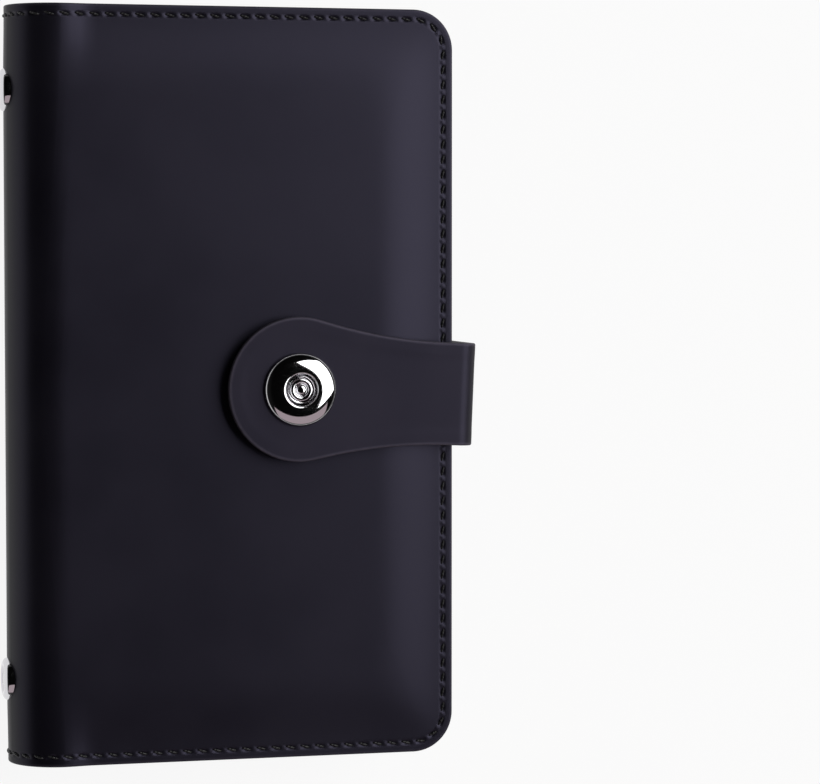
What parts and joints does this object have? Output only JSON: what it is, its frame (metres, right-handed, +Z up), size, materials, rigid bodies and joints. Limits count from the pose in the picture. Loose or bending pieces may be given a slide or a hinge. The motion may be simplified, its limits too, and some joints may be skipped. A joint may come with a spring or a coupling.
{
  "type": "banknote album",
  "caption": "Banknote album with faux-leather covers raised inside a stitched margin, a half-round spine, clear pocket leaves riveted to it, and a strap that snaps on the front.",
  "frame": {"origin": "middle of the whole album's bounding box, at the level it lies on", "axes": "album lies shut on its back: +Z up out of the front cover, +Y towards the album's top, spine at -X, fore edge and strap at +X"},
  "size_m": [0.1172, 0.185, 0.0335],
  "materials": {
    "cover_leather": "smooth satin faux leather, near black with a faint violet tint",
    "strap_leather": "smooth satin faux leather, a shade lighter than the covers",
    "lining": "thin matt faux leather",
    "board": "grey board, hidden inside the covers",
    "film": "clear flexible film pockets, glossy, greyish on edge",
    "strip": "black stiff strip",
    "chrome": "polished chrome plate"
  },
  "bodies": {
    "back": {"back_cover_leather": "cover_leather", "back_board": "board", "back_lining": "lining", "pages": "film", "strap_root": "strap_leather"},
    "spine": {"spine_leather": "cover_leather", "spine_lining": "lining", "binding_strip": "strip", "spine_rivet_top": "chrome", "spine_washer_top": "chrome", "spine_rivet_bottom": "chrome", "spine_washer_bottom": "chrome"},
    "front": {"front_cover_leather": "cover_leather", "front_board": "board", "front_lining": "lining", "snap_stud": "chrome", "snap_stud_backing": "chrome"},
    "strap_side": {"strap_riser": "strap_leather"},
    "strap_end": {"strap_tab": "strap_leather", "snap_cap": "chrome", "snap_cap_rivet": "chrome", "snap_socket": "chrome"}
  },
  "joints": [
    {"name": "cover_open", "type": "hinge", "parent": "back", "child": "spine", "pos_m": [-0.05448, 0, 0.00458], "axis": [0, -1, 0], "range_deg": [0, 90]},
    {"name": "front_fold", "type": "hinge", "parent": "spine", "child": "front", "pos_m": [-0.05448, 0, 0.02422], "axis": [0, -1, 0], "range_deg": [0, 90]},
    {"name": "strap_open", "type": "hinge", "parent": "back", "child": "strap_side", "pos_m": [0.05709, -0.00292, 0.00094], "axis": [0.0419, 0.9991, 0], "range_deg": [0, 90]},
    {"name": "strap_fold", "type": "hinge", "parent": "strap_side", "child": "strap_end", "pos_m": [0.05709, -0.00292, 0.03006], "axis": [0.0419, 0.9991, 0], "range_deg": [0, 84]}
  ],
  "couplings": [
    {"joint": "front_fold", "follows": "cover_open", "ratio": 1},
    {"joint": "strap_fold", "follows": "strap_open", "ratio": 0.9333}
  ]
}
